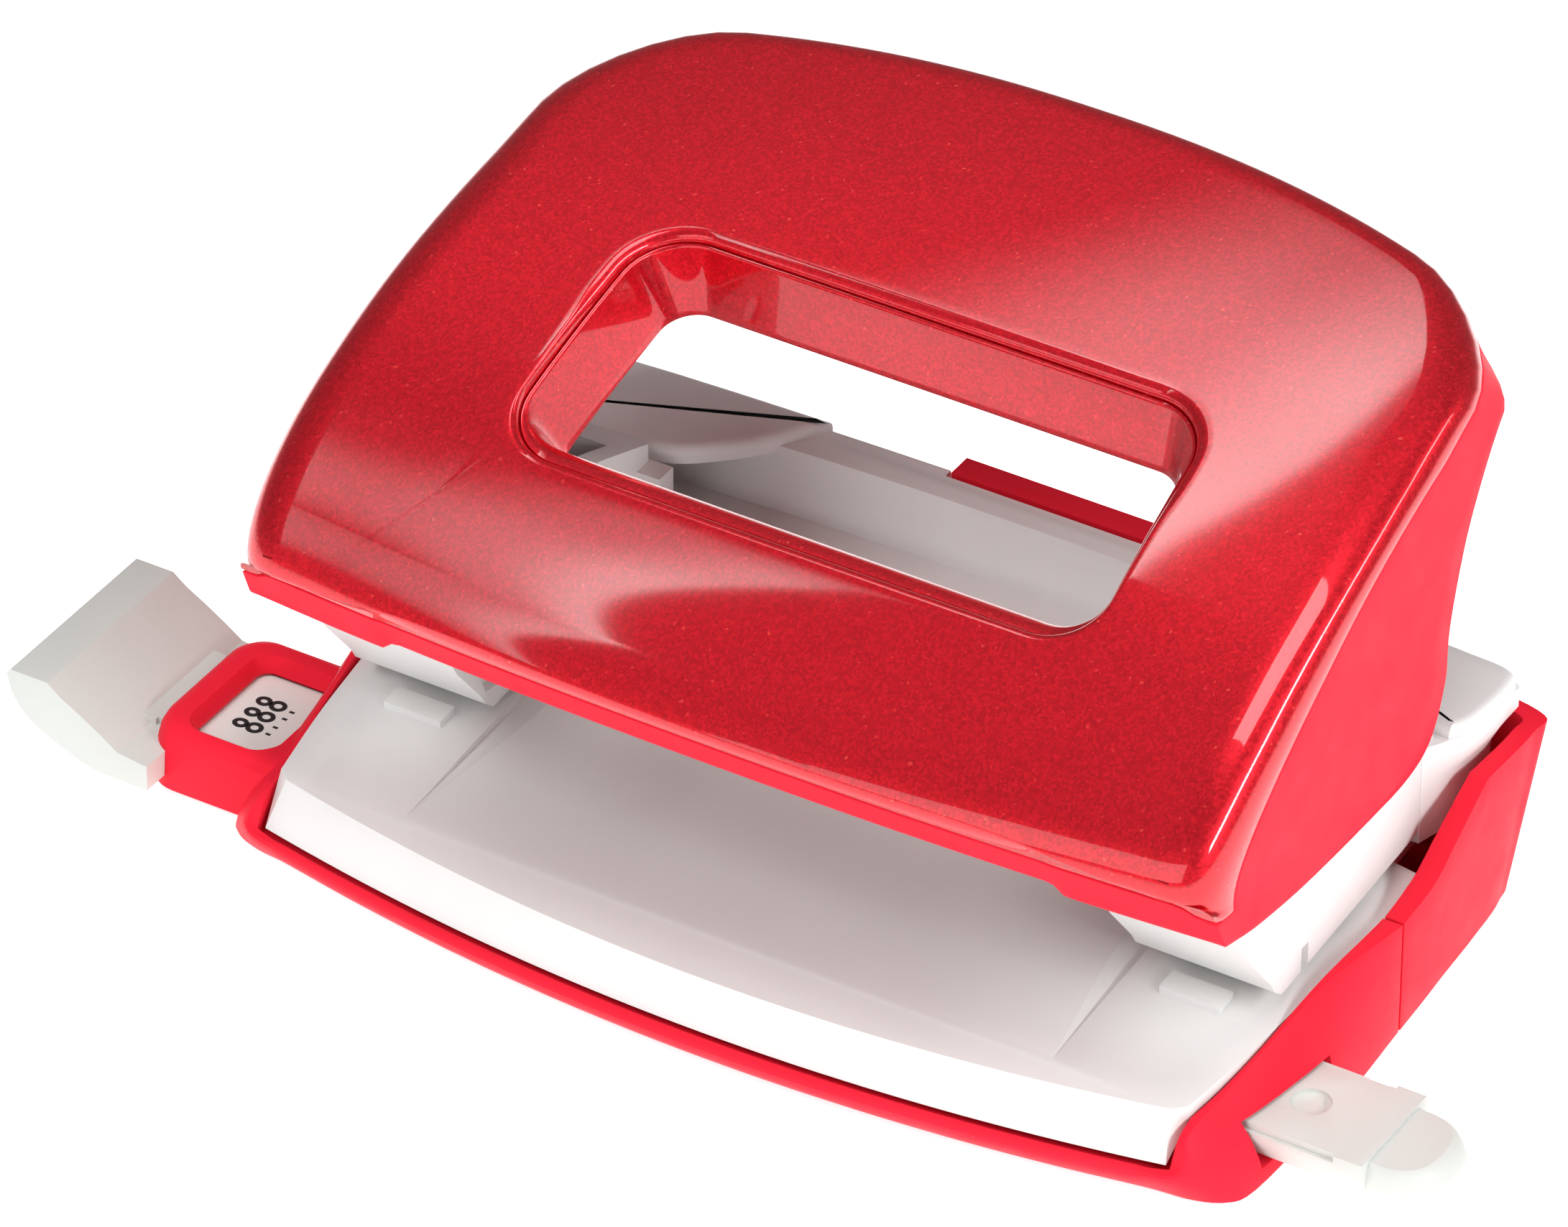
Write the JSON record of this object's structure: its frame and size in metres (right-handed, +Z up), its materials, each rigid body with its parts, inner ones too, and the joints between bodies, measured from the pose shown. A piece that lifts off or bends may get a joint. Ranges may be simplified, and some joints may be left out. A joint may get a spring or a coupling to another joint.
{
  "type": "two-hole desk punch",
  "caption": "Desk hole punch: a red handle with a finger window over two hollow legs, a pale paper plate, a red base with chip tray, and a sliding paper guide.",
  "frame": {"origin": "centre of the non-slip mat's underside, on the table and on the plane halfway between the two punch pins", "axes": "+X to the right along the paper guide, +Y to the rear, +Z up; the paper goes in from -Y"},
  "size_m": [0.1426, 0.0736, 0.0601],
  "materials": {
    "red_paint": "gloss metallic red",
    "red_plastic": "fine grain",
    "pale_plastic": "satin",
    "guide_plastic": "fine grain",
    "steel": "bright",
    "rubber": "matt"
  },
  "bodies": {
    "base": {"base_shell": "red_plastic", "base_mat": "rubber", "base_screw_left": "steel", "base_screw_right": "steel", "paper_plate": "pale_plastic", "upper_body": "pale_plastic", "corner_cover_left": "pale_plastic", "corner_cover_right": "pale_plastic", "body_screw_left_inner": "steel", "body_screw_left_outer": "steel", "body_screw_right_inner": "steel", "body_screw_right_outer": "steel", "die_plate_left": "steel", "die_plate_right": "steel", "pin_bush_left": "steel", "pin_bush_right": "steel", "pivot_pin_left": "steel", "pivot_pin_right": "steel", "tray_hinge_pin_left": "steel", "tray_hinge_pin_right": "steel", "guide_detent_spring": "steel", "return_spring_left": "steel", "return_spring_right": "steel"},
    "handle": {"handle_shell": "red_paint", "press_lever_left": "steel", "press_lever_right": "steel", "lever_screw_left": "steel", "lever_screw_right": "steel"},
    "pin_left": {"punch_pin_left": "steel", "pin_cap_left": "pale_plastic"},
    "pin_right": {"punch_pin_right": "steel", "pin_cap_right": "pale_plastic"},
    "tray": {"chip_tray": "red_plastic", "tray_foot_left": "rubber", "tray_foot_right": "rubber"},
    "guide": {"guide_bar": "guide_plastic"}
  },
  "joints": [
    {"name": "handle_hinge", "type": "hinge", "parent": "base", "child": "handle", "pos_m": [0, 0.003, 0.029], "axis": [-1, 0, 0], "range_deg": [0, 20.3], "stiffness_Nm_per_rad": 2, "springref_deg": -11.46},
    {"name": "pin_slide_left", "type": "slide", "parent": "base", "child": "pin_left", "axis": [0, 0, -1], "range_m": [0, 0.00601], "deforming": ["return_spring_left"]},
    {"name": "pin_slide_right", "type": "slide", "parent": "base", "child": "pin_right", "axis": [0, 0, -1], "range_m": [0, 0.00601], "deforming": ["return_spring_right"]},
    {"name": "tray_hinge", "type": "hinge", "parent": "base", "child": "tray", "pos_m": [0, 0.0115, 0.0024], "axis": [-1, 0, 0], "range_deg": [0, 70]},
    {"name": "guide_slide", "type": "slide", "parent": "base", "child": "guide", "axis": [-1, 0, 0], "range_m": [0, 0.08]}
  ],
  "couplings": [
    {"joint": "pin_slide_left", "follows": "handle_hinge", "m_per_rad": 0.01693},
    {"joint": "pin_slide_right", "follows": "handle_hinge", "m_per_rad": 0.01693}
  ]
}
